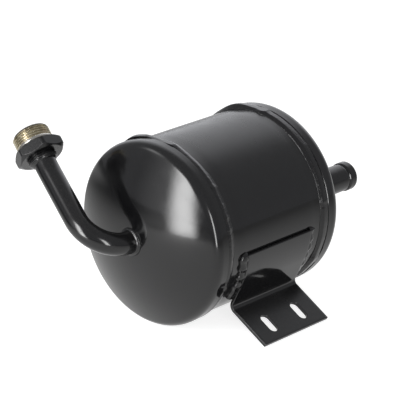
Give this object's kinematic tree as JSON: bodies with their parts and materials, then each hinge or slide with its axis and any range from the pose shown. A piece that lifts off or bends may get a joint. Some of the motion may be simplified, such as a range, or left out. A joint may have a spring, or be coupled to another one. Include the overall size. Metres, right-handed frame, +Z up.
{
  "type": "receiver drier",
  "caption": "Welded steel receiver drier tank with a bent inlet tube and threaded union, a straight outlet stub and a slotted mounting bracket.",
  "frame": {"origin": "on the underside of the bracket's foot, midway between its two slots", "axes": "+Y along the tank's axis from the inlet end to the outlet end, +Z up with the tank lying on its skirts, +X towards the bracket"},
  "size_m": [0.2142, 0.2594, 0.1597],
  "materials": {
    "black_enamel": "gloss black enamel over steel",
    "painted_weld": "gloss black enamel over weld beads",
    "yellow_zinc": "yellow zinc plated thread, hexagon painted over in black",
    "bare_steel": "bare mild steel",
    "filter_felt": "pressed felt",
    "desiccant": "packed matt beads"
  },
  "bodies": {
    "root": {"shell": "black_enamel", "front_head": "black_enamel", "rear_head": "black_enamel", "front_girth_weld": "painted_weld", "rear_girth_weld": "painted_weld", "inlet_tube": "black_enamel", "inlet_tube_weld": "painted_weld", "inlet_fitting": "yellow_zinc", "inlet_braze": "painted_weld", "outlet_stub": "black_enamel", "outlet_stub_weld": "painted_weld", "mounting_bracket": "black_enamel", "bracket_weld_front": "painted_weld", "bracket_weld_rear": "painted_weld", "pack_spring": "bare_steel", "front_screen": "bare_steel", "front_pad": "filter_felt", "desiccant_bed": "desiccant", "rear_pad": "filter_felt", "rear_screen": "bare_steel", "retaining_ring": "bare_steel", "pickup_tube": "bare_steel", "pickup_strainer": "bare_steel"}
  },
  "joints": []
}
